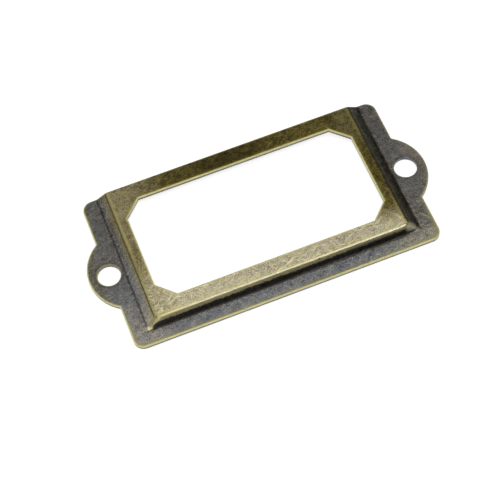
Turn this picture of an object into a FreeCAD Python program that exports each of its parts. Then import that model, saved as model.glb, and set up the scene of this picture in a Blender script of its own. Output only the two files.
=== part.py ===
import FreeCAD, Part
import math
import os

# A label frame for a drawer front: one plate of thin sheet, stamped in one hit.
# A flat flange with a screw ear at each end carries a raised frame round an eight-sided window.
# The raised frame is hollow behind and open along the far edge, where the card slides in.
# X runs along the plate, Y across it towards the open edge, Z out of the drawer front.
# The origin is the middle of the flange's back, halfway between the two screw holes.
# All sizes are in millimetres.

# Sheet and flange
sheet = 0.8
flange_length = 60.0
flange_width = 33.0
flange_corner_radius = 2.0

# Screw ears, each a flat arc that stands out past the straight end, with a hole just inside that end
ear_reach = 3.7
ear_radius = 8.6
ear_hollow_radius = 0.25
hole_diameter = 4.4
hole_inset = 0.2

# Raised frame: its foot lies inside the flange, and its walls slope in to the flat face
end_margin = 3.2
near_margin = 2.9
rise = 1.2
end_wall_run = 2.0
near_wall_run = 1.2
foot_corner_radius = 0.9
face_corner_radius = 0.6

# Window in the flat face, with its corners cut off at a slant
end_bar = 2.05
near_bar = 3.3
far_bar = 3.6
window_clip = 3.3

# Bends and edges
shoulder_radius = 0.45
crease_radius = 0.35
recess_corner_radius = 0.15
rolled_edge = 0.15

# How far cutting and joining solids run past the sheet
overrun = 3.0

# How far below a rim the cut side is looked for
rim_probe = 0.05

half_length = flange_length / 2
half_width = flange_width / 2
foot_x = half_length - end_margin
foot_y = half_width - near_margin
face_x = foot_x - end_wall_run
face_y = foot_y - near_wall_run
face_z = sheet + rise
hole_x = half_length - hole_inset


def upright(wire, bottom, height):
    """A straight solid from a flat wire drawn at Z 0."""
    solid = Part.Face(wire).extrude(FreeCAD.Vector(0, 0, height))
    solid.translate(FreeCAD.Vector(0, 0, bottom))
    return solid


def closed_wire(corners):
    """A closed run of straight edges through (x, y) corners at Z 0."""
    points = [FreeCAD.Vector(x, y, 0) for x, y in corners]
    return Part.makePolygon(points + points[:1])


def edges_where(shape, test):
    """The edges of a shape whose sampled points all pass the test."""
    chosen = []
    for edge in shape.Edges:
        points = edge.discretize(5)
        if all(test(point) for point in points):
            chosen.append(edge)
    return chosen


def flange_outline(bottom, height):
    """The plate's outline as a solid: a rounded rectangle joined with two ears."""
    corners = [(-half_length, -half_width), (half_length, -half_width),
               (half_length, half_width), (-half_length, half_width)]
    body = upright(closed_wire(corners), bottom, height)
    uprights = [edge for edge in body.Edges if abs(edge.tangentAt(edge.FirstParameter).z) > 0.9]
    body = body.makeFillet(flange_corner_radius, uprights)
    ear_centre = half_length + ear_reach - ear_radius
    for side in (-1, 1):
        centre = FreeCAD.Vector(side * ear_centre, 0, bottom)
        body = body.fuse(Part.makeCylinder(ear_radius, height, centre))
    body = body.removeSplitter()
    ear_foot_y = math.sqrt(ear_radius ** 2 - (half_length - ear_centre) ** 2)

    def is_ear_foot(point):
        return abs(abs(point.x) - half_length) < 0.01 and abs(abs(point.y) - ear_foot_y) < 0.01

    return body.makeFillet(ear_hollow_radius, edges_where(body, is_ear_foot))


def bench_wire(x, near_y, far_y, radius, z):
    """A rectangle whose two near corners are round."""
    slant = radius * (1 - math.sqrt(0.5))
    run = [FreeCAD.Vector(-x, far_y, z), FreeCAD.Vector(-x, -near_y + radius, z),
           FreeCAD.Vector(-x + slant, -near_y + slant, z), FreeCAD.Vector(-x + radius, -near_y, z),
           FreeCAD.Vector(x - radius, -near_y, z), FreeCAD.Vector(x - slant, -near_y + slant, z),
           FreeCAD.Vector(x, -near_y + radius, z), FreeCAD.Vector(x, far_y, z)]
    return Part.Wire([
        Part.LineSegment(run[0], run[1]).toShape(),
        Part.Arc(run[1], run[2], run[3]).toShape(),
        Part.LineSegment(run[3], run[4]).toShape(),
        Part.Arc(run[4], run[5], run[6]).toShape(),
        Part.LineSegment(run[6], run[7]).toShape(),
        Part.LineSegment(run[7], run[0]).toShape(),
    ])


def bench(drop, end_inset, near_inset):
    """The raised form as a solid, lowered and drawn in by the given amounts."""
    inset = (end_inset + near_inset) / 2
    far_y = half_width + 2 * overrun
    foot = bench_wire(foot_x - end_inset, foot_y - near_inset, far_y,
                      foot_corner_radius - inset, sheet - drop)
    face = bench_wire(face_x - end_inset, face_y - near_inset, far_y,
                      face_corner_radius - inset, face_z - drop)
    return Part.makeLoft([foot, face], True, True)


def back_inset(run):
    """How far the back of a wall is drawn in when the front is lowered by one sheet thickness."""
    slope_length = math.hypot(run, rise)
    return sheet * (slope_length - run) / rise


def pressed_form(drop, end_inset, near_inset, top_radius, foot_radius):
    """A block whose upper side is one face of the pressed sheet.

    It is larger than the plate all round, so that only its upper side meets the plate.
    """
    reach_x = half_length + ear_reach + overrun
    reach_y = half_width + overrun
    corner = FreeCAD.Vector(-reach_x, -reach_y, -overrun)
    bed = Part.makeBox(2 * reach_x, 2 * reach_y, overrun + sheet - drop, corner)
    tall_box = Part.makeBox(2 * reach_x, 2 * reach_y, 2 * overrun + face_z, corner)
    form = bed.fuse(bench(drop, end_inset, near_inset).common(tall_box)).removeSplitter()

    def turns_at(level):
        def on_level(point):
            return abs(point.z - level) < 0.001 and abs(point.x) < foot_x + 0.01
        return [edge for edge in edges_where(form, on_level)
                if min(point.y for point in edge.discretize(3)) < reach_y - 0.01]

    form = form.makeFillet(top_radius, turns_at(face_z - drop))
    return form.makeFillet(foot_radius, turns_at(sheet - drop))


def bent_sheet():
    """The sheet with its raised form and hollow back, not yet cut to its outline."""
    front = pressed_form(0, 0, 0, shoulder_radius, crease_radius)
    back = pressed_form(sheet, back_inset(end_wall_run), back_inset(near_wall_run),
                        recess_corner_radius, crease_radius + sheet)
    return front.cut(back)


def window_outline(bottom, height):
    """The window: a rectangle inside the bars with its four corners cut off."""
    x = face_x - end_bar
    near_y = -face_y + near_bar
    far_y = half_width - far_bar
    corners = [(-x + window_clip, near_y), (x - window_clip, near_y), (x, near_y + window_clip),
               (x, far_y - window_clip), (x - window_clip, far_y), (-x + window_clip, far_y),
               (-x, far_y - window_clip), (-x, near_y + window_clip)]
    return upright(closed_wire(corners), bottom, height)


def screw_holes(body):
    """The plate with its two round screw holes."""
    for side in (-1, 1):
        centre = FreeCAD.Vector(side * hole_x, 0, -overrun)
        body = body.cut(Part.makeCylinder(hole_diameter / 2, sheet + 2 * overrun, centre))
    return body


def front_rims(body):
    """The edges where the front of the sheet meets a cut side: outline, window and holes."""
    step = FreeCAD.Vector(0, 0, rim_probe)
    rims = []
    for edge in body.Edges:
        middle = (edge.FirstParameter + edge.LastParameter) / 2
        if abs(edge.tangentAt(middle).z) > 0.95:
            continue
        below = edge.valueAt(middle) - step
        on_cut_side = body.isInside(below, 0.001, True) and not body.isInside(below, 0.001, False)
        if on_cut_side:
            rims.append(edge)
    return rims


def label_frame():
    """The whole stamped plate, with its front rims rolled over by the punch."""
    height = face_z + 2 * overrun
    body = bent_sheet().common(flange_outline(-overrun, height))
    body = body.cut(window_outline(-overrun, height))
    body = screw_holes(body).Solids[0]
    return body.makeFillet(rolled_edge, front_rims(body))


os.makedirs("parts", exist_ok=True)
frame = label_frame()
print("label_frame valid", frame.isValid(), "solids", len(frame.Solids), "volume", round(frame.Volume, 2))
frame.exportStep("parts/label_frame.step")
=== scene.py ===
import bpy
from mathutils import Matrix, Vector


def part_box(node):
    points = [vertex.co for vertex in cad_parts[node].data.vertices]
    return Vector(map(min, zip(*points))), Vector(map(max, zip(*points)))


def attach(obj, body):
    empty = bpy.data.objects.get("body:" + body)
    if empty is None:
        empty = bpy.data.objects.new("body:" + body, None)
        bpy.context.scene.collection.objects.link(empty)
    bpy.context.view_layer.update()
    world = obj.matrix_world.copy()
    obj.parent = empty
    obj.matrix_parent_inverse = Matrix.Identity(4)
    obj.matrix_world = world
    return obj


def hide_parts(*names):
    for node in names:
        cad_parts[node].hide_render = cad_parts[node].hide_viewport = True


bl_info = {
    "name": "Label Frame",
    "version": (1, 0, 0),
    "blender": (4, 5, 0),
    "location": "View3D > Sidebar > Label Frame",
    "description": "Makes a stamped label frame for a drawer front, with its rubbed bronze finish",
    "category": "Add Mesh",
}

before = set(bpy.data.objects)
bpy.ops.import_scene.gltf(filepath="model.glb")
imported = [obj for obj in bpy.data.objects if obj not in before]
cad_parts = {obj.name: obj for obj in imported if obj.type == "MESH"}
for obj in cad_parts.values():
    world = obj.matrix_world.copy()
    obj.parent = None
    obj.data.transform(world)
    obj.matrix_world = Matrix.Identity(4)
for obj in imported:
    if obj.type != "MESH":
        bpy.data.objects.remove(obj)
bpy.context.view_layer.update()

import math
from types import SimpleNamespace

import bmesh
import bpy
from bpy.props import FloatProperty, FloatVectorProperty, PointerProperty
from mathutils import Matrix, Vector

PLATE_LOW, PLATE_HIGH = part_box("label_frame")

# One millimetre in the scene's metres
MM = 0.001

# Points closer than this, in millimetres, are one point or lie at one level
WELD = 0.001

# How far from the window or a hole, in millimetres, a point still counts as on its rim
RIM_REACH = 0.01

# A face whose normal has a larger upright part than this is flat
FLAT = 0.99

# A mitre climbs at least this share of the rise
MITRE_CLIMB = 0.9

# Steps of each arc and of each rounding
HOLE_STEPS = 20
EAR_STEPS = 18
CORNER_STEPS = 8
HOLLOW_STEPS = 3
MITRE_STEPS = 5
BEND_STEPS = 4
RIM_STEPS = 3

# Distance from a 45 degree line, per millimetre along an axis
DIAGONAL = 0.7071

# Half of the floor's side and its gap under the plate, in millimetres
FLOOR_HALF = 1500.0
FLOOR_GAP = 0.02

# Each lamp's name, place, width and depth, in metres
LAMPS = (
    ("overhead", (0.02, 0.105, 0.42), 0.50, 0.30),
    ("brow", (0.07, -0.15, 0.42), 0.75, 0.07),
    ("side", (-0.42, 0.20, 0.30), 0.30, 0.30),
    ("front", (-0.22, -0.40, 0.16), 0.35, 0.16),
)


def length(name, description, millimetres):
    """A size of the plate, given in millimetres and kept in metres."""
    return FloatProperty(name=name, description=description, default=millimetres * MM,
                         min=0.0, precision=5, unit="LENGTH", subtype="DISTANCE")


def colour(name, description, red_green_blue):
    """A colour of the finish, in linear light."""
    return FloatVectorProperty(name=name, description=description, default=red_green_blue,
                               min=0.0, max=1.0, size=3, subtype="COLOR")


def angle(name, description, degrees):
    """A direction of the camera, given in degrees."""
    return FloatProperty(name=name, description=description, default=math.radians(degrees),
                         unit="ROTATION", subtype="ANGLE")


def share(name, description, value):
    """A plain number between 0 and 1."""
    return FloatProperty(name=name, description=description, default=value, min=0.0, max=1.0,
                         subtype="FACTOR")


class LabelFrameSizes(bpy.types.PropertyGroup):
    """Sizes of the stamped plate; its overall box comes from the frame"""

    sheet: length("Sheet", "Thickness of the sheet", 0.8)
    corner: length("Flange Corner", "Radius of the flange's corners", 2.0)
    ear_reach: length("Ear Reach", "How far an ear stands out past the straight end", 3.7)
    ear_radius: length("Ear Radius", "Radius of an ear's arc", 8.6)
    ear_hollow: length("Ear Hollow", "Set-back of the rounding where an ear meets the end", 0.2)
    hole: length("Screw Hole", "Diameter of a screw hole", 4.4)
    hole_inset: length("Hole Inset", "How far inside the straight end a hole's centre lies", 0.2)
    end_margin: length("End Margin", "Flange left outside the raised foot at each end", 3.2)
    near_margin: length("Near Margin", "Flange left outside the raised foot on the near side", 2.9)
    end_run: length("End Wall Run", "How far an end wall leans in", 2.0)
    near_run: length("Near Wall Run", "How far the near wall leans in", 1.2)
    end_bar: length("End Bar", "Flat face between the window and an end shoulder", 2.05)
    near_bar: length("Near Bar", "Flat face between the window and the near shoulder", 3.3)
    far_bar: length("Far Bar", "Flat face between the window and the open edge", 3.6)
    clip: length("Window Clip", "How much each corner of the window is cut off", 3.3)
    mitre: length("Mitre", "Set-back of the rounding where two walls meet", 1.0)
    shoulder: length("Shoulder", "Set-back of the bend at the top of a wall", 0.22)
    crease: length("Crease", "Set-back of the bend at the foot of a wall", 0.26)
    back_shoulder: length("Back Shoulder", "Set-back of the bend inside the recess", 0.05)
    back_crease: length("Back Crease", "Set-back of the bend behind the foot", 0.38)
    rolled_rim: length("Rolled Rim", "Set-back of the rolled front rims", 0.14)


class LabelFrameFinish(bpy.types.PropertyGroup):
    """Colours and gloss of the antique bronze finish, with the colours of its painted highlights and
    shade
    """

    # Rubbed Bronze also paints the highlights on rims, mitres and the near shoulder, and along the
    # window
    rubbed: colour("Rubbed Bronze", "Bright bronze on rims and bends", (0.86, 0.79, 0.35))
    # Pale Bronze also paints highlights: the near shoulder's bead, the left mitre's foot, the near
    # right corner, and glints
    cream: colour("Pale Bronze", "Palest bronze of scratches and of the near shoulder",
                  (0.92, 0.84, 0.54))
    # Near Face and Far Face: the pale near bar and the dark far bar are partly tarnish and partly
    # painted light and shade; Far Face also paints the dark line under the end shoulders
    near_face: colour("Near Face", "Pale bronze of the near bar", (0.53, 0.465, 0.275))
    lilac: colour("Grey Bloom", "Greyer patches of the near bar and the flange",
                  (0.51, 0.455, 0.415))
    far_face: colour("Far Face", "Brown bronze of the far bar", (0.098, 0.075, 0.028))
    olive: colour("Olive", "Olive patches of the far bar", (0.200, 0.158, 0.027))
    olive_dark: colour("Dark Olive", "Darkest olive of the worn bars", (0.024, 0.018, 0.001))
    # Light Olive also paints highlights: on the end shoulders, the tops of the end walls and along
    # the window on the far bar
    olive_light: colour("Light Olive", "Olive bronze of scratches on the far bar", (0.42, 0.35, 0.10))
    # Rim Glow is a painted highlight on the flange beside its near rim
    olive_glow: colour("Rim Glow", "Olive of the flange beside its near rim", (0.38, 0.34, 0.15))
    # Right Wall is painted shade on the wall that faces away from the light
    shade: colour("Right Wall", "Brown of the wall that faces away from the light",
                  (0.085, 0.070, 0.034))
    flange: colour("Flange", "Gunmetal of the flange, walls and ears", (0.190, 0.216, 0.260))
    brown: colour("Brown Tint", "Brown that shows through the gunmetal", (0.182, 0.172, 0.128))
    tarnish: colour("Tarnish", "Brown spots of the near bar", (0.200, 0.155, 0.090))
    slate: colour("Slate", "Bluest grey, on the near strip of the flange", (0.150, 0.190, 0.270))
    mauve: colour("Mauve", "Mauve brown patches of the left bar", (0.300, 0.240, 0.170))
    umber: colour("Umber", "Reddish brown under the rubbed face", (0.15, 0.06, 0.01))
    # Bend paints the yellow reflection under the near shoulder and a highlight on the left shoulder
    bend: colour("Bend", "Yellow bronze under the near shoulder and on the left one",
                 (0.85, 0.74, 0.36))
    # Patina also paints shade round the holes and beside the foot of the walls, and in part on the
    # near wall and in the creases
    patina: colour("Patina", "Nearly black patina in bends and corners", (0.020, 0.014, 0.007))
    roughness: share("Roughness", "How matt the finish is", 0.36)


class LabelFrameStage(bpy.types.PropertyGroup):
    """Camera, lamps and floor"""

    azimuth: angle("Azimuth", "Camera direction round the plate", -15.388)
    elevation: angle("Elevation", "Camera height above the floor", 60.230)
    roll: angle("Roll", "Camera turn about its own line of sight", -6.739)
    distance: length("Distance", "From the camera to the point it looks at", 275.58)
    aim: FloatVectorProperty(name="Aim", description="Point that the camera looks at", size=3,
                             default=(-0.003509, -0.003804, -0.001830), precision=5,
                             unit="LENGTH", subtype="TRANSLATION")
    focal: FloatProperty(name="Focal Length", description="Lens on a 36 mm wide sensor",
                         default=106.19, min=1.0)
    overhead: FloatProperty(name="Overhead", description="Brightness of the panel above",
                            default=1.0, min=0.0)
    brow: FloatProperty(name="Brow", description="Brightness of the strip that lights the near bend",
                        default=2.9, min=0.0)
    side: FloatProperty(name="Side", description="Brightness of the panel on the left",
                        default=1.1, min=0.0)
    front: FloatProperty(name="Front", description="Brightness of the low panel in front",
                         default=1.0, min=0.0)
    room: FloatProperty(name="Room", description="Brightness of the room all round",
                        default=0.07, min=0.0)


def plate_plan(sizes):
    """The plate's sizes in millimetres, with the places that follow from them."""
    plan = SimpleNamespace()
    for name in LabelFrameSizes.__annotations__:
        setattr(plan, name, getattr(sizes, name) / MM)
    plan.half_length = PLATE_HIGH.x / MM - plan.ear_reach
    plan.half_width = PLATE_HIGH.y / MM
    plan.base = PLATE_LOW.z / MM
    plan.rise = (PLATE_HIGH.z - PLATE_LOW.z) / MM - plan.sheet
    plan.foot_x = plan.half_length - plan.end_margin
    plan.foot_y = plan.half_width - plan.near_margin
    plan.face_x = plan.foot_x - plan.end_run
    plan.face_y = plan.foot_y - plan.near_run
    plan.window_x = plan.face_x - plan.end_bar
    plan.window_near = plan.near_bar - plan.face_y
    plan.window_far = plan.half_width - plan.far_bar
    plan.hole_x = plan.half_length - plan.hole_inset
    plan.hole_radius = plan.hole / 2
    plan.ear_x = plan.half_length + plan.ear_reach - plan.ear_radius
    plan.ear_foot = math.sqrt(plan.ear_radius ** 2 - (plan.half_length - plan.ear_x) ** 2)
    return plan


def rounded(bm, geom, offset, segments, affect="EDGES"):
    """Rounds edges or corners with a circular profile."""
    bmesh.ops.bevel(bm, geom=geom, offset=offset, offset_type="OFFSET", segments=segments,
                    profile=0.5, affect=affect, material=-1, loop_slide=True)


def arc(bm, start, centre, turn, steps):
    """New vertices in order along a level arc."""
    known = set(bm.verts)
    first = bm.verts.new(start)
    bmesh.ops.spin(bm, geom=[first], cent=centre, axis=(0, 0, 1), angle=turn, steps=steps,
                   use_duplicate=False)
    run = [first]
    waiting = set(bm.verts) - known - {first}
    while waiting:
        onward = [edge.other_vert(run[-1]) for edge in run[-1].link_edges]
        run += [vert for vert in onward if vert in waiting]
        waiting.discard(run[-1])
    return run


def flange_faces(bm, plan, z, foot_x, foot_y):
    """The left half of the flange: one face each side of the line through the screw hole."""
    half_turn = math.asin(plan.ear_foot / plan.ear_radius)
    for side in (-1, 1):
        hole = arc(bm, (plan.hole_radius - plan.hole_x, 0, z), (-plan.hole_x, 0, z),
                   side * math.pi, HOLE_STEPS)
        ear = arc(bm, (-plan.half_length - plan.ear_reach, 0, z), (-plan.ear_x, 0, z),
                  -side * half_turn, EAR_STEPS)
        corners = [(-plan.half_length, side * plan.half_width)]
        if side < 0:
            corners += [(0, -plan.half_width), (0, -foot_y), (-foot_x, -foot_y)]
        else:
            corners += [(-foot_x, plan.half_width)]
        corners += [(-foot_x, 0)]
        bm.faces.new(hole + ear + [bm.verts.new((x, y, z)) for x, y in corners])


def raised_faces(bm, plan, low, high, inset_x, inset_y):
    """The left half of the raised form: end wall, near wall and the flat face round the window."""
    foot_x, foot_y = plan.foot_x - inset_x, plan.foot_y - inset_y
    face_x, face_y = plan.face_x - inset_x, plan.face_y - inset_y
    far, window_x, clip = plan.half_width, plan.window_x, plan.clip
    end_wall = [(-foot_x, far, low), (-foot_x, 0, low), (-foot_x, -foot_y, low),
                (-face_x, -face_y, high), (-face_x, far, high)]
    near_wall = [(-foot_x, -foot_y, low), (0, -foot_y, low), (0, -face_y, high),
                 (-face_x, -face_y, high)]
    face = [(0, -face_y), (-face_x, -face_y), (-face_x, far), (0, far), (0, plan.window_far),
            (clip - window_x, plan.window_far), (-window_x, plan.window_far - clip),
            (-window_x, plan.window_near + clip), (clip - window_x, plan.window_near),
            (0, plan.window_near)]
    for corners in (end_wall, near_wall, [(x, y, high) for x, y in face]):
        bm.faces.new([bm.verts.new(corner) for corner in corners])


def bend_edges(bm, z):
    """Level edges at a height where a flat face turns into a wall."""
    bm.normal_update()
    return [edge for edge in bm.edges if len(edge.link_faces) == 2
            and all(abs(vert.co.z - z) < WELD for vert in edge.verts)
            and any(abs(face.normal.z) < FLAT for face in edge.link_faces)]


def sheet_side(plan, drop, inset_x, inset_y, shoulder, crease):
    """One side of the bent sheet, the front one or the one lowered by the sheet's thickness."""
    bm = bmesh.new()
    low = plan.base + plan.sheet - drop
    high = low + plan.rise
    flange_faces(bm, plan, low, plan.foot_x - inset_x, plan.foot_y - inset_y)
    raised_faces(bm, plan, low, high, inset_x, inset_y)
    bmesh.ops.remove_doubles(bm, verts=bm.verts, dist=WELD)

    def on_end(y):
        """Corners of the straight left end, at a distance from its middle."""
        return [vert for vert in bm.verts if abs(vert.co.x + plan.half_length) < WELD
                and abs(abs(vert.co.y) - y) < WELD]

    rounded(bm, on_end(plan.half_width), plan.corner, CORNER_STEPS, "VERTICES")
    rounded(bm, on_end(plan.ear_foot), plan.ear_hollow, HOLLOW_STEPS, "VERTICES")
    mitres = [edge for edge in bm.edges if len(edge.link_faces) == 2
              and abs(edge.verts[0].co.z - edge.verts[1].co.z) > MITRE_CLIMB * plan.rise]
    rounded(bm, mitres, plan.mitre, MITRE_STEPS)

    bmesh.ops.mirror(bm, geom=bm.verts[:] + bm.edges[:] + bm.faces[:], axis="X",
                     merge_dist=WELD)
    bmesh.ops.remove_doubles(bm, verts=bm.verts, dist=WELD)
    bmesh.ops.recalc_face_normals(bm, faces=bm.faces)
    rounded(bm, bend_edges(bm, high), shoulder, BEND_STEPS)
    rounded(bm, bend_edges(bm, low), crease, BEND_STEPS)
    side = bpy.data.meshes.new("sheet_side")
    bm.to_mesh(side)
    bm.free()
    return side


def plate_shell(plan):
    """The closed plate: both sides of the bent sheet, joined along outline, window and holes."""
    def back_inset(run):
        """How far the back of a wall is drawn in, so that the sheet keeps its thickness."""
        slope = math.hypot(run, plan.rise)
        return plan.sheet * (slope - run) / plan.rise

    def in_window(point):
        return (abs(point.x) < plan.window_x + RIM_REACH
                and plan.window_near - RIM_REACH < point.y < plan.window_far + RIM_REACH)

    def at_hole(point, side):
        return math.hypot(point.x - side * plan.hole_x, point.y) < plan.hole_radius + RIM_REACH

    def at_left_hole(point):
        return at_hole(point, -1)

    def at_right_hole(point):
        return at_hole(point, 1)

    def on_outline(point):
        return not (in_window(point) or at_left_hole(point) or at_right_hole(point))

    front = sheet_side(plan, 0, 0, 0, plan.shoulder, plan.crease)
    back = sheet_side(plan, plan.sheet, back_inset(plan.end_run), back_inset(plan.near_run),
                      plan.back_shoulder, plan.back_crease)
    bm = bmesh.new()
    bm.from_mesh(front)
    front_rims = [edge for edge in bm.edges if edge.is_boundary]
    bm.from_mesh(back)
    bpy.data.meshes.remove(front)
    bpy.data.meshes.remove(back)
    open_edges = [edge for edge in bm.edges if edge.is_boundary]
    for test in (in_window, at_left_hole, at_right_hole, on_outline):
        pair = [edge for edge in open_edges if all(test(vert.co) for vert in edge.verts)]
        bmesh.ops.bridge_loops(bm, edges=pair)
    bmesh.ops.recalc_face_normals(bm, faces=bm.faces)
    rounded(bm, front_rims, plan.rolled_rim, RIM_STEPS)
    return bm


def new_piece(name, bm):
    """An object at the origin from a bmesh in millimetres."""
    bmesh.ops.scale(bm, vec=(MM, MM, MM), verts=bm.verts)
    mesh = bpy.data.meshes.new(name)
    bm.to_mesh(mesh)
    bm.free()
    for polygon in mesh.polygons:
        polygon.use_smooth = True
    piece = bpy.data.objects.new(name, mesh)
    bpy.context.scene.collection.objects.link(piece)
    return piece


def opaque(shade):
    """A colour with its alpha. A link to a colour is left as it is."""
    return shade if isinstance(shade, bpy.types.NodeSocket) else (*shade, 1.0)


class Reading:
    """A number that varies over the surface. Arithmetic on it adds Math nodes."""

    def __init__(self, finish, socket):
        self.finish = finish
        self.socket = socket

    def __add__(self, other):
        return self.finish.math("ADD", self, other)

    def __sub__(self, other):
        return self.finish.math("SUBTRACT", self, other)

    def __rsub__(self, other):
        return self.finish.math("SUBTRACT", other, self)

    def __mul__(self, other):
        return self.finish.math("MULTIPLY", self, other)

    def __truediv__(self, other):
        return self.finish.math("DIVIDE", self, other)

    def __neg__(self):
        return self.finish.math("MULTIPLY", self, -1.0)

    def __abs__(self):
        return self.finish.math("ABSOLUTE", self)

    __radd__ = __add__
    __rmul__ = __mul__


class Finish:
    """A material that is put together node by node."""

    def __init__(self, name):
        self.material = bpy.data.materials.new(name)
        self.material.use_nodes = True
        self.tree = self.material.node_tree
        self.tree.nodes.clear()

    def node(self, kind, settings=None, sockets=None):
        """A node of a kind: its settings first, then a value or a link for each named socket."""
        made = self.tree.nodes.new(kind)
        for key, value in (settings or {}).items():
            setattr(made, key, value)
        for key, value in (sockets or {}).items():
            if isinstance(value, Reading):
                value = value.socket
            if isinstance(value, bpy.types.NodeSocket):
                self.tree.links.new(value, made.inputs[key])
            else:
                made.inputs[key].default_value = value
        return made

    def reading(self, socket):
        return Reading(self, socket)

    def math(self, operation, *values):
        made = self.node("ShaderNodeMath", {"operation": operation}, dict(enumerate(values)))
        return self.reading(made.outputs[0])

    def largest(self, first, *others):
        for other in others:
            first = self.math("MAXIMUM", first, other)
        return first

    def smallest(self, first, *others):
        for other in others:
            first = self.math("MINIMUM", first, other)
        return first

    def hypotenuse(self, a, b):
        return self.math("SQRT", a * a + b * b)

    def fade(self, value, start, end):
        """0 before start and 1 after end, smooth between."""
        made = self.node("ShaderNodeMapRange",
                         {"interpolation_type": "SMOOTHSTEP", "clamp": True},
                         {"Value": value, "From Min": start, "From Max": end,
                          "To Min": 0.0, "To Max": 1.0})
        return self.reading(made.outputs["Result"])

    def band(self, value, middle, half, soft):
        """1 within half of the middle, falling to 0 over the soft distance on each side."""
        return 1 - self.fade(abs(value - middle), half, half + soft)

    def blend(self, mask, first, second):
        """The first colour where the mask is 0, the second where it is 1."""
        made = self.node("ShaderNodeMix", {"data_type": "RGBA", "blend_type": "MIX"},
                         {0: mask, 6: opaque(first), 7: opaque(second)})
        return made.outputs[2]

    def coated(self, base, coats):
        """The base colour under a run of coats, each a mask and its colour."""
        for mask, coat in coats:
            base = self.blend(mask, base, coat)
        return base

    def noise(self, where, scale, detail, roughness):
        made = self.node("ShaderNodeTexNoise", {"noise_dimensions": "3D"},
                         {"Vector": where, "Scale": scale, "Detail": detail,
                          "Roughness": roughness})
        return self.reading(made.outputs["Fac"])

    def turned(self, where, degrees, stretch, shift=(0.0, 0.0, 0.0)):
        """Coordinates turned about Z and then scaled along each axis."""
        made = self.node("ShaderNodeMapping", {"vector_type": "POINT"},
                         {"Vector": where, "Rotation": (0.0, 0.0, math.radians(degrees)),
                          "Location": shift})
        return self.node("ShaderNodeVectorMath", {"operation": "MULTIPLY"},
                         {0: made.outputs["Vector"], 1: stretch}).outputs["Vector"]


def grain_readings(f, mm):
    """How uneven the plating is: clouds, mottling, grain, specks and hair scratches."""
    grain = SimpleNamespace()
    grain.cloud = f.noise(mm, 0.30, 3.0, 0.6)
    grain.mottle = f.noise(mm, 0.95, 3.0, 0.6)
    grain.fine = f.noise(f.turned(mm, -28, (0.64, 1.0, 0.8)), 6.0, 2.0, 0.8)
    grain.speck = f.noise(f.turned(mm, 33, (1.0, 0.64, 0.8), (40.0, 17.0, 0.0)), 5.8, 2.0, 0.8)
    grain.bloom = f.noise(f.turned(mm, 71, (1.0, 1.0, 1.0), (11.0, 52.0, 0.0)), 0.75, 4.0, 0.7)

    # Millimetres by which the edge of a mark strays
    grain.wander = (grain.mottle - 0.5) * 0.35 + (grain.fine - 0.5) * 0.4

    # Light and dark specks, thicker in patches, and the brightest of the light ones, which are
    # painted glints
    patchy = (grain.mottle - 0.5) * 0.3
    grain.lighter = f.fade(grain.fine + patchy, 0.44, 0.60)
    grain.darker = f.fade(grain.speck - patchy, 0.46, 0.62)
    grain.glint = f.fade(grain.fine + patchy * 0.8, 0.62, 0.70)

    def hairs(degrees, width, run, threshold, shift):
        """Hair scratches in one direction. A higher threshold leaves fewer of them."""
        where = f.turned(mm, degrees, (1 / width, 1 / run, 0.2), shift)
        return f.fade(f.noise(where, 1.0, 1.0, 0.5), threshold, threshold + 0.10)

    grain.scratch = f.largest(hairs(62, 0.22, 2.8, 0.59, (0.0, 0.0, 0.0)),
                              hairs(-38, 0.22, 3.6, 0.62, (30.0, 7.0, 0.0)),
                              hairs(20, 0.20, 2.4, 0.63, (9.0, 61.0, 0.0)),
                              hairs(-80, 0.22, 2.0, 0.60, (5.0, 33.0, 0.0)))
    return grain


def outline_distance(f, plan, across, y):
    """Distance past the outer rim, which is a rounded rectangle joined with the ears."""
    round_x = across - (plan.half_length - plan.corner)
    round_y = abs(y) - (plan.half_width - plan.corner)
    past_rectangle = (f.hypotenuse(f.largest(round_x, 0.0), f.largest(round_y, 0.0))
                      + f.smallest(f.largest(round_x, round_y), 0.0) - plan.corner)
    past_ear = f.hypotenuse(across - plan.ear_x, y) - plan.ear_radius
    return f.smallest(past_rectangle, past_ear)


def window_distance(f, plan, across, y):
    """Distance past the window's rim, into the opening."""
    half = (plan.window_far - plan.window_near) / 2
    from_middle = abs(y - (plan.window_near + plan.window_far) / 2)
    past_clip = (across + from_middle - (plan.window_x + half - plan.clip)) * DIAGONAL
    return -f.largest(across - plan.window_x, from_middle - half, past_clip)


def surface_places(f, plan, mm):
    """Where a point lies on the plate, in millimetres.

    A reading named past_ is 0 at its edge or bend and positive beyond it.
    """
    split = f.node("ShaderNodeSeparateXYZ", None, {0: mm})
    at = SimpleNamespace()
    at.x, at.y, at.z = (f.reading(split.outputs[axis]) for axis in "XYZ")

    # Most readings are alike at both ends, so they use the distance from the middle
    at.across = abs(at.x)

    # Bends of the raised form, and which wall is nearer: the near one or an end one
    at.past_end = at.across - plan.face_x
    at.past_near = -plan.face_y - at.y
    at.past_shoulder = f.largest(at.past_end, at.past_near)
    at.past_foot = f.largest(at.across - plan.foot_x, -plan.foot_y - at.y)
    at.to_near = at.past_near / plan.near_run - at.past_end / plan.end_run
    at.near_side = f.fade(at.to_near, -0.12, 0.12)
    at.end_side = 1 - at.near_side

    # Face, walls, and the two halves of the plate
    at.on_face = 1 - f.fade(at.past_shoulder, -0.06, 0.10)
    at.off_face = 1 - at.on_face
    at.on_wall = at.off_face * (1 - f.fade(at.past_foot, 0.0, 0.2))
    at.on_right = f.fade(at.x, 0.0, 4.0)
    at.on_left = 1 - at.on_right

    # Rims
    at.past_outline = outline_distance(f, plan, at.across, at.y)
    at.past_hole = plan.hole_radius - f.hypotenuse(at.across - plan.hole_x, at.y)
    at.past_window = window_distance(f, plan, at.across, at.y)
    at.past_rim = f.largest(at.past_outline, at.past_hole, at.past_window)
    return at


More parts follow.
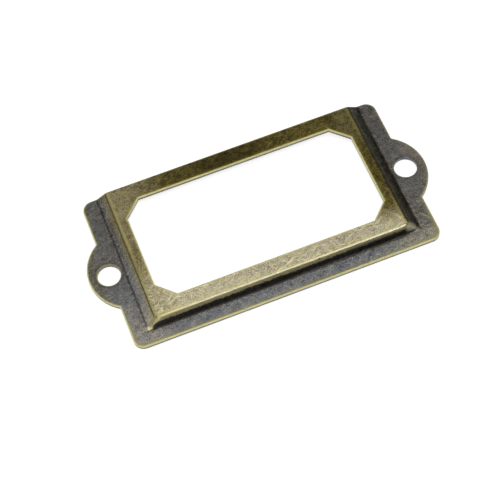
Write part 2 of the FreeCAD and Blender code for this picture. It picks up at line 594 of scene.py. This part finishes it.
def wear_marks(f, plan, at, grain):
    """Masks of the marks along rims, bends and walls: wear, painted highlights and painted shade."""
    x, y, across, wander = at.x, at.y, at.across, grain.wander
    mark = SimpleNamespace()

    # Rubbed rims with a painted highlight, less so along the open far edge, and what lies beside a
    # rim: painted shade round the holes and painted highlights along the window and the near rim
    mark.rim = (f.fade(at.past_rim + wander * 0.25, -0.34, -0.13)
                * (1 - 0.6 * f.fade(y, 15.6, 16.2)))
    mark.hole_halo = f.fade(at.past_hole + wander, -0.9, -0.1)
    mark.window_glow = f.fade(at.past_window + wander, -0.95, -0.1)
    mark.near_glow = (f.fade(at.past_outline + wander * 1.4, -1.25, -0.25)
                      * f.fade(-y, 6.0, 13.0))

    # Near shoulder: a bright bead, partly rubbed and partly painted highlight, wider at its right
    # end; a yellow band of painted reflection; then the dark wall, partly patina and partly painted
    # shade
    mark.bead_end = f.fade(x, 11.0, 17.0)
    mark.near_bead = at.near_side * f.band(at.past_shoulder + wander * 0.6, -0.02,
                                           0.14 + 0.09 * mark.bead_end, 0.22)
    mark.near_yellow = (f.band(at.past_shoulder + wander * 1.1, 0.32, 0.13, 0.14) * at.near_side
                        * (1 - 0.6 * mark.bead_end))
    mark.near_dark = (at.near_side
                      * f.fade(at.past_shoulder + wander * 1.1 + 0.12 * mark.bead_end, 0.40, 0.58)
                      * (1 - f.fade(at.past_foot + wander * 0.3, 0.10, 0.62))
                      * (1 - f.fade(x + wander, 23.6, 26.4)))

    # End shoulders: a duller bead of painted highlight with a painted dark line under it, then the
    # wall, with a painted highlight near its top and painted shade on the right one
    mark.end_bead = f.band(at.past_shoulder + wander * 0.8, -0.25, 0.13, 0.30) * at.end_side
    mark.end_line = f.band(at.past_shoulder + wander * 0.4, 0.20, 0.05, 0.16) * at.end_side
    mark.wall_glow = f.band(at.past_end + wander, 0.50, 0.15, 0.70) * at.end_side
    mark.right_wall = (at.end_side * f.fade(at.past_shoulder + wander, 0.3, 0.8)
                       * (1 - f.fade(at.past_foot + wander, 0.0, 0.5)) * at.on_right)
    mark.left_wall = (at.off_face * at.end_side * at.on_left
                      * (1 - f.fade(at.past_foot, -0.1, 0.2)))

    # Mitres between the near wall and the end walls, partly rubbed and partly painted highlight; a
    # painted highlight at the left one's foot and another on the right one
    mark.mitre = (f.band(at.to_near + wander * 0.3 + 0.14 * at.on_left, -0.02, 0.20, 0.24)
                  * at.on_wall)
    foot_corner = f.hypotenuse(across - plan.foot_x + 0.4, y + plan.foot_y - 0.4)
    mark.mitre_foot = (1 - f.fade(foot_corner + wander, 0.10, 0.75)) * at.on_left
    past_round_foot = f.hypotenuse(f.largest(across - plan.foot_x + plan.mitre, 0.0),
                                   f.largest(plan.mitre - plan.foot_y - y, 0.0)) - plan.mitre
    mark.above_foot = 1 - f.fade(past_round_foot, -0.55, -0.25)
    face_corner = f.hypotenuse(x - plan.face_x - 0.4, y + plan.face_y + 0.4)
    mark.corner_light = ((1 - f.fade(face_corner + wander, 0.60, 1.40)) * at.off_face
                         * mark.above_foot)

    # Crease at the foot of the walls, dark partly as patina and partly as painted shade, and the cut
    # side under a rolled rim
    mark.crease = f.band(at.past_foot + wander * 0.3, 0.0, 0.04, 0.30)
    layer = at.z - (plan.base + plan.rise) * at.on_face
    mark.cut_side = f.fade(at.past_rim, -0.05, -0.01) * (1 - f.fade(layer, 0.50, 0.66))
    return mark


def face_colour(f, at, grain, mark, look):
    """Flat face: pale on the near bar, olive and dark brown towards the far bar, partly as tarnish
    and partly as painted light and shade.
    """
    x, y, across = at.x, at.y, at.across
    # The fall from the pale near bar to the dark far bar, weaker at the left end, is partly tarnish
    # and partly painted light and shade
    from_near = (y + 10.8 + f.fade(x, 18.5, 23.0)) / (9.6 - 0.18 * x)
    ageing = f.fade(from_near + (grain.mottle - 0.5) * 0.4, 0.0, 1.0)
    worn = ageing * (0.68 + 0.32 * f.fade(x + (grain.cloud - 0.5) * 6.0, -21.0, -12.0))
    fresh = 1 - worn
    bloomed = (f.fade(grain.bloom, 0.36, 0.56) * fresh * (1 - f.fade(across, 17.0, 23.0) * 0.9)
               * (1 - f.fade(at.past_near, -1.2, -0.4)))
    olive = f.largest(mark.window_glow * 0.7, f.fade(grain.mottle, 0.50, 0.68) * 0.8)
    far_corner = f.fade(across, 19.5, 23.5) * f.fade(y, 7.0, 12.0)
    far_middle = f.band(x, -1.5, 2.5, 7.0) * f.fade(y, 9.0, 12.0)
    bar_middle = f.fade(across, 21.0, 23.0) * f.band(y, 0.0, 1.0, 3.5)
    shoulder_glow = f.fade(at.past_near, -1.7, -0.2) * (0.20 + 0.14 * f.fade(-x, 2.0, 14.0))

    pale = f.blend(worn, look.cream, look.olive_light)
    grime = f.blend(worn, look.tarnish, look.olive_dark)
    face = f.blend(worn, f.blend(bloomed, look.near_face, look.lilac),
                   f.blend(olive, look.far_face, look.olive))
    return f.coated(face, [
        # Left bar: reddish, with mauve patches
        (f.fade(-x, 20.5, 23.5) * ageing * 0.22, look.umber),
        (f.fade(grain.bloom, 0.42, 0.58) * worn * f.fade(-x, 16.0, 23.0) * 0.75, look.mauve),

        # Near bar: paler on its left half, browner at its middle
        (f.fade(-x, 5.0, 11.0) * (1 - f.fade(-x, 20.0, 23.0)) * fresh * 0.22, look.cream),
        (f.band(x, -2.5, 1.5, 3.0) * fresh * 0.10, look.tarnish),

        # A lighter place on the right half of the far bar
        (f.band(x, 16.0, 2.0, 3.5) * f.fade(y, 12.5, 15.0) * 0.20, look.olive_light),

        # Corners: browner near left, lighter on the far side
        (f.fade(-x, 19.5, 22.5) * fresh * 0.29, look.tarnish),
        (far_corner * (0.67 - 0.37 * at.on_right), look.near_face),

        # Specks and scratches
        (grain.darker * 0.95, grime),
        (grain.lighter * (0.72 - 0.46 * worn), pale),
        (grain.scratch * (0.98 - 0.58 * worn), pale),

        # Dark middles of the far bar and the end bars
        (f.largest(far_middle * 0.45, bar_middle * 0.16), look.patina),

        # Painted highlight along the window and the near shoulder
        (f.largest(mark.window_glow * (0.34 - 0.16 * worn), shoulder_glow),
         f.blend(worn, look.rubbed, look.olive_light)),
    ])


def metal_colour(f, at, grain, mark, look):
    """Flange, ears and walls: gunmetal, with brown that shows through."""
    x, y, across = at.x, at.y, at.across
    warm = f.largest(f.fade(grain.cloud + (grain.bloom - 0.5) * 0.6, 0.46, 0.66) * 0.6,
                     f.fade(across, 25.0, 29.0) * 0.50,
                     f.fade(across + abs(y) * 0.2, 30.0, 33.0))
    warm = warm * (1 - 0.65 * at.on_left * f.fade(-y, 1.0, 9.0))
    near_corner = f.fade(across, 19.0, 28.0) * (0.55 * f.fade(-y, 5.0, 14.0) * at.on_left
                                                + 0.26 * f.fade(-y, 12.5, 15.0) * at.on_right)
    near_strip = f.fade(-y, 12.8, 14.2)
    far_side = f.fade(y + (grain.cloud - 0.5) * 8.0, -9.0, 6.0)
    right_foot = at.on_right * f.fade(x, 18.0, 26.0) * (1 - f.fade(x, 28.5, 31.5))
    beside_foot = (1 - f.fade(at.past_foot, 0.2, 2.2)) * f.fade(at.past_foot, -0.2, 0.2)
    calm = f.fade(at.past_foot, 0.0, 0.5) * f.fade(y, -12.0, -6.0)
    scuffs = (grain.glint * (0.46 - 0.08 * calm)
              + grain.scratch * (0.28 - 0.14 * calm - 0.08 * mark.left_wall))

    return f.coated(f.blend(warm, look.flange, look.brown), [
        # Painted shade on the right wall, which faces away from the light; then paler grey in the
        # near corners, and grey bloom in patches
        (mark.right_wall * (0.94 - 0.16 * f.fade(y, 2.0, 10.0)), look.shade),
        (near_corner, look.lilac),
        (f.fade(grain.bloom, 0.44, 0.64) * 0.12, look.lilac),

        # Left wall: pale at its near end, dark on its far half
        (mark.left_wall * f.fade(-y, 8.5, 12.5) * 0.24, look.cream),
        (mark.left_wall * f.fade(y + grain.wander * 4.0, -1.5, 4.0) * 0.44, look.patina),

        # Darker towards the far side and along the right wall
        (far_side * (0.18 - 0.11 * at.on_right), look.patina),
        (right_foot * 0.10, look.patina),

        # Near strip: bluish, and paler at its right end
        (near_strip * (1 - f.fade(across, 19.0, 25.0)) * 0.30, look.slate),
        (near_strip * f.fade(x, 17.0, 24.0) * 0.22, look.cream),

        # Right end: reddish on the near side of the ear, and a greyer tip of the ear
        (f.fade(x, 26.8, 28.0) * f.band(y, -9.0, 2.0, 2.5) * 0.16, look.umber),
        (f.fade(x, 30.0, 31.5) * f.fade(y, -3.0, 0.5) * 0.22, look.lilac),

        # Painted shade beside the foot, then specks, scuffs and painted glints, which are fainter
        # away from the near side
        (beside_foot * 0.20, look.patina),
        (grain.darker * (0.76 - 0.16 * calm), look.patina),
        (grain.lighter * (0.24 - 0.08 * calm), look.lilac),
        (scuffs * (1 - 0.7 * mark.right_wall), look.cream),

        # Painted highlight at the tops of the end walls, painted shade round the holes, painted
        # highlight beside the near rim, and the near wall dark partly as patina and partly as painted
        # shade
        (mark.wall_glow * (0.32 - 0.18 * at.on_right), look.olive_light),
        (mark.hole_halo * (0.45 - 0.20 * at.on_right), look.patina),
        (mark.near_glow * (0.30 + 0.20 * grain.darker + 0.25 * f.fade(across, 20.0, 27.0)),
         look.olive_glow),
        (mark.near_dark * 0.82, look.patina),
    ])


def back_colour(f, grain, look):
    """Back of the sheet: the same metal, hardly rubbed."""
    metal = f.blend(f.fade(grain.cloud, 0.40, 0.60), look.flange, look.brown)
    return f.coated(metal, [
        (grain.darker * 0.66, look.patina),
        (grain.glint * 0.30 + grain.scratch * 0.20, look.olive_light),
    ])


def bronze_finish(plan, look):
    """Antique bronze: bright on rims and bends, partly rubbed and partly painted highlight, olive on
    the face, gunmetal on the flange, with painted shade in places.
    """
    f = Finish("antique_bronze")
    coordinates = f.node("ShaderNodeTexCoord")
    facing = f.node("ShaderNodeSeparateXYZ", None, {0: coordinates.outputs["Normal"]})
    on_back = 1 - f.fade(f.reading(facing.outputs["Z"]), -0.35, 0.0)
    mm = f.node("ShaderNodeVectorMath", {"operation": "SCALE"},
                {0: coordinates.outputs["Object"], "Scale": 1 / MM}).outputs[0]
    grain = grain_readings(f, mm)
    at = surface_places(f, plan, mm)
    mark = wear_marks(f, plan, at, grain)

    # The right shoulder's painted highlight is duller along its middle, and the near shoulder's bead
    # yellower at its left end
    right_middle = at.on_right * (1 - f.fade(abs(at.y - 2), 6.0, 9.0))
    bead = f.blend(f.fade(-at.x, 14.0, 23.0) * 0.8, look.cream, look.rubbed)

    # Rims, rubbed and with a painted highlight, are duller round the holes and at the right end
    rubbed_rim = mark.rim * (0.95 - 0.65 * f.fade(at.past_hole, -0.5, -0.3)
                             - 0.5 * f.fade(at.x, 27.0, 31.0))
    base = f.blend(at.on_face, metal_colour(f, at, grain, mark, look),
                   face_colour(f, at, grain, mark, look))
    base = f.coated(base, [
        # Foot of the walls, dark partly as patina and partly as painted shade, and the end shoulders:
        # a painted dark line and a painted highlight
        (mark.crease * (0.60 - 0.52 * at.on_right), look.patina),
        (mark.end_line * 0.85, look.far_face),
        (mark.end_bead * (0.50 - 0.46 * right_middle), look.olive_light),
        (mark.end_bead * at.on_left * f.fade(at.y, -3.0, 6.0) * 0.28, look.bend),

        # Near shoulder: a painted yellow reflection, and a bead that is partly rubbed and partly
        # painted highlight
        (mark.near_yellow * 0.85, look.bend),
        (mark.near_bead * (0.85 + 0.10 * mark.bead_end), bead),

        # Mitres, partly rubbed and partly painted highlight, and painted highlights at the left
        # mitre's foot and on the right mitre
        (mark.mitre * (0.85 - at.on_right * (0.80 - 0.45 * mark.above_foot)), look.rubbed),
        (mark.mitre_foot * 0.76, look.cream),
        (mark.corner_light * 0.95, look.cream),

        # Rims, rubbed and with a painted highlight, the cut sides under them, and the back
        (rubbed_rim, look.rubbed),
        (mark.cut_side * 0.75, look.patina),
        (on_back * 0.85, back_colour(f, grain, look)),
    ])

    roughness = (look.roughness + (grain.mottle - 0.5) * 0.2 + (grain.fine - 0.5) * 0.25
                 - grain.scratch * 0.06)
    height = grain.mottle * 0.4 + grain.fine * 0.6 + grain.speck * 0.4 - grain.scratch * 0.4
    bump = f.node("ShaderNodeBump", None,
                  {"Strength": 0.60, "Distance": 0.05 * MM, "Height": height})
    shader = f.node("ShaderNodeBsdfPrincipled", None,
                    {"Base Color": base, "Metallic": 1.0, "Roughness": roughness,
                     "Normal": bump.outputs["Normal"]})
    f.node("ShaderNodeOutputMaterial", None, {"Surface": shader.outputs["BSDF"]})
    return f.material


class LABELFRAME_OT_plate(bpy.types.Operator):
    """Makes the stamped plate with its raised form, window, screw holes and finish"""

    bl_idname = "label_frame.plate"
    bl_label = "Stamped Plate"

    def execute(self, context):
        plan = plate_plan(context.scene.label_frame_sizes)
        plate = new_piece("label_frame_plate", plate_shell(plan))
        plate.data.materials.append(bronze_finish(plan, context.scene.label_frame_finish))
        level = plate.modifiers.new("even_shading", "WEIGHTED_NORMAL")
        level.weight = 100
        level.keep_sharp = False
        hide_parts("label_frame")
        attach(plate, "root")
        return {"FINISHED"}


def light_panel(name, place, width, depth, brightness):
    """A soft rectangular lamp that faces the plate and shows at the given brightness."""
    lamp = bpy.data.lights.new(name, "AREA")
    lamp.shape = "RECTANGLE"
    lamp.size, lamp.size_y = width, depth
    lamp.energy = brightness * math.pi * width * depth
    panel = bpy.data.objects.new(name, lamp)
    panel.location = place
    panel.rotation_euler = (-Vector(place)).to_track_quat("-Z", "Y").to_euler()
    bpy.context.scene.collection.objects.link(panel)


def floor_finish():
    """White floor that keeps the plate's shadow."""
    f = Finish("white_floor")
    rays = f.node("ShaderNodeLightPath")
    seen = f.smallest(f.reading(rays.outputs["Is Camera Ray"])
                      + f.reading(rays.outputs["Is Glossy Ray"])
                      + f.reading(rays.outputs["Is Transmission Ray"]), 1.0)
    matt = f.node("ShaderNodeBsdfDiffuse", None, {"Color": (0.8, 0.8, 0.8, 1.0)})
    glow = f.node("ShaderNodeEmission", None, {"Color": (1.0, 1.0, 1.0, 1.0), "Strength": 0.75})
    lit = f.node("ShaderNodeAddShader", None, {0: matt.outputs[0], 1: glow.outputs[0]})
    mixed = f.node("ShaderNodeMixShader", None, {0: seen, 1: matt.outputs[0], 2: lit.outputs[0]})
    f.node("ShaderNodeOutputMaterial", None, {"Surface": mixed.outputs[0]})
    return f.material


class LABELFRAME_OT_stage(bpy.types.Operator):
    """Sets up the floor, the lamps and the camera"""

    bl_idname = "label_frame.stage"
    bl_label = "Stage"

    def execute(self, context):
        scene = context.scene
        stage = scene.label_frame_stage
        bm = bmesh.new()
        level = PLATE_LOW.z / MM - FLOOR_GAP
        bmesh.ops.create_grid(bm, x_segments=1, y_segments=1, size=FLOOR_HALF,
                              matrix=Matrix.Translation((0, 0, level)))
        floor = new_piece("floor", bm)
        floor.data.materials.append(floor_finish())

        for name, place, width, depth in LAMPS:
            light_panel(name, place, width, depth, getattr(stage, name))
        world = bpy.data.worlds.new("room")
        world.use_nodes = True
        air = world.node_tree.nodes["Background"]
        air.inputs["Color"].default_value = (1.0, 1.0, 1.0, 1.0)
        air.inputs["Strength"].default_value = stage.room
        scene.world = world

        lens = bpy.data.cameras.new("camera")
        lens.lens = stage.focal
        lens.sensor_width = 36.0
        lens.clip_start = 0.01
        camera = bpy.data.objects.new("camera", lens)
        turn = (Matrix.Rotation(stage.azimuth, 4, "Z")
                @ Matrix.Rotation(math.pi / 2 - stage.elevation, 4, "X")
                @ Matrix.Rotation(stage.roll, 4, "Z"))
        camera.matrix_world = (Matrix.Translation(stage.aim) @ turn
                               @ Matrix.Translation((0, 0, stage.distance)))
        scene.collection.objects.link(camera)
        scene.camera = camera
        scene.view_settings.view_transform = "Standard"
        return {"FINISHED"}


class LABELFRAME_PT_panel(bpy.types.Panel):
    """Lists the sizes, the finish and the stage, and the buttons that make them"""

    bl_idname = "LABELFRAME_PT_panel"
    bl_label = "Label Frame"
    bl_space_type = "VIEW_3D"
    bl_region_type = "UI"
    bl_category = "Label Frame"

    def draw(self, context):
        scene = context.scene
        for group in (scene.label_frame_sizes, scene.label_frame_finish, scene.label_frame_stage):
            box = self.layout.box()
            for name in group.__annotations__:
                box.prop(group, name)
        self.layout.operator(LABELFRAME_OT_plate.bl_idname)
        self.layout.operator(LABELFRAME_OT_stage.bl_idname)


CLASSES = (LabelFrameSizes, LabelFrameFinish, LabelFrameStage, LABELFRAME_OT_plate,
           LABELFRAME_OT_stage, LABELFRAME_PT_panel)


def register():
    for made in CLASSES:
        bpy.utils.register_class(made)
    bpy.types.Scene.label_frame_sizes = PointerProperty(type=LabelFrameSizes)
    bpy.types.Scene.label_frame_finish = PointerProperty(type=LabelFrameFinish)
    bpy.types.Scene.label_frame_stage = PointerProperty(type=LabelFrameStage)


def unregister():
    del bpy.types.Scene.label_frame_stage
    del bpy.types.Scene.label_frame_finish
    del bpy.types.Scene.label_frame_sizes
    for made in reversed(CLASSES):
        bpy.utils.unregister_class(made)


def main():
    register()
    bpy.ops.label_frame.plate()
    bpy.ops.label_frame.stage()


if __name__ == "__main__":
    main()
